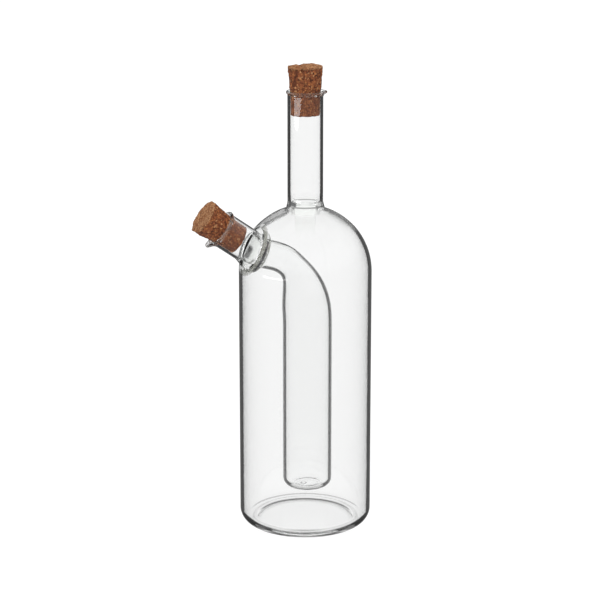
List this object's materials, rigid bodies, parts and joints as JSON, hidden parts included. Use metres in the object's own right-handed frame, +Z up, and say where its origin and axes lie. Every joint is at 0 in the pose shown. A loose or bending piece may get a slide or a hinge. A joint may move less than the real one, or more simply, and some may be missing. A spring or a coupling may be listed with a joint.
{
  "type": "oil and vinegar bottle",
  "caption": "Clear glass bottle with a smaller vinegar vessel sealed inside it, an upright oil neck, a leaning vinegar spout and tapered corks.",
  "frame": {"origin": "centre of the flat underside that the bottle stands on", "axes": "+Z up along the bottle and its neck, -X towards the vinegar spout, +X towards the pouring lip of the neck, XZ is the plane of symmetry"},
  "size_m": [0.0958, 0.07, 0.2467],
  "materials": {
    "vessel_glass": "clear borosilicate, fire polished",
    "collar_glass": "clear borosilicate, fire polished",
    "neck_glass": "clear borosilicate, fire polished",
    "seal_glass": "clear borosilicate, fire polished, slightly wavy",
    "spout_glass": "clear borosilicate, fire polished",
    "elbow_glass": "clear borosilicate, fire polished",
    "chamber_glass": "clear borosilicate, fire polished",
    "neck_cork_granules": "pressed cork granules, matte",
    "spout_cork_granules": "pressed cork granules, matte"
  },
  "bodies": {
    "bottle": {"outer_vessel": "vessel_glass", "neck_collar": "collar_glass", "neck_tube": "neck_glass", "spout_seal_ring": "seal_glass", "spout_tube": "spout_glass", "inner_elbow": "elbow_glass", "inner_chamber": "chamber_glass"},
    "oil_stopper": {"neck_cork": "neck_cork_granules"},
    "vinegar_stopper": {"spout_cork": "spout_cork_granules"}
  },
  "joints": [
    {"name": "neck_cork_pull", "type": "slide", "parent": "bottle", "child": "oil_stopper", "axis": [0, 0, 1], "range_m": [0, 0.04]},
    {"name": "spout_cork_pull", "type": "slide", "parent": "bottle", "child": "vinegar_stopper", "axis": [-0.8151, 0, 0.5793], "range_m": [0, 0.04]}
  ]
}
